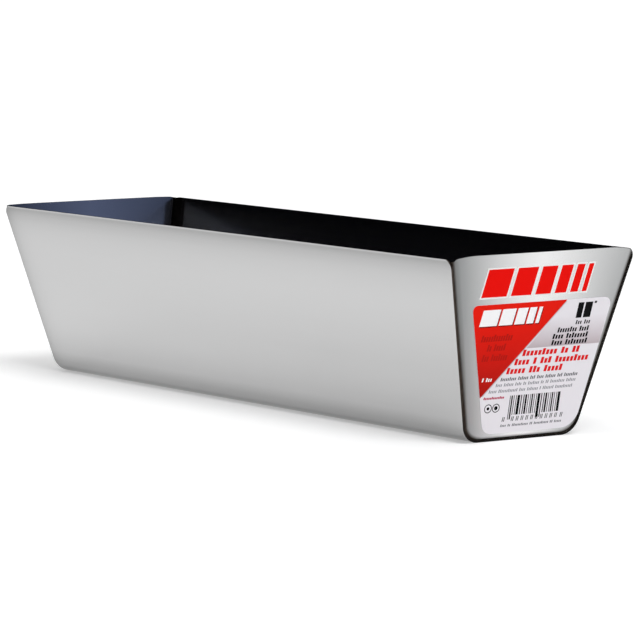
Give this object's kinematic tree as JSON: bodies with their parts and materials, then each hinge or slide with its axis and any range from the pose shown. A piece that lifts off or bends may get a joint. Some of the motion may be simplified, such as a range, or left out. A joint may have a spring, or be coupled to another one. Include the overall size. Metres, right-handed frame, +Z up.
{
  "type": "drywall mud pan",
  "caption": "Open-topped stainless steel mud pan with flared walls, a rounded flat base, welded end caps and a label on one end.",
  "frame": {"origin": "centre of the base's underside, on the surface that the pan rests on", "axes": "+X along the pan to the end with the label, +Y across the pan to the back wall, +Z up"},
  "size_m": [0.3563, 0.097, 0.0801],
  "materials": {
    "trough_steel": "satin brushed along the pan",
    "cap_steel": "satin brushed from base to rim",
    "weld_steel": "dull, heat tinted weld",
    "label_film": "semi-gloss printed film",
    "red_ink": "glossy screen-printed ink"
  },
  "bodies": {
    "root": {"trough_sheet": "trough_steel", "near_end_cap": "cap_steel", "far_end_cap": "cap_steel", "near_weld_bead": "weld_steel", "far_weld_bead": "weld_steel", "label": "label_film", "printed_mark": "red_ink"}
  },
  "joints": []
}
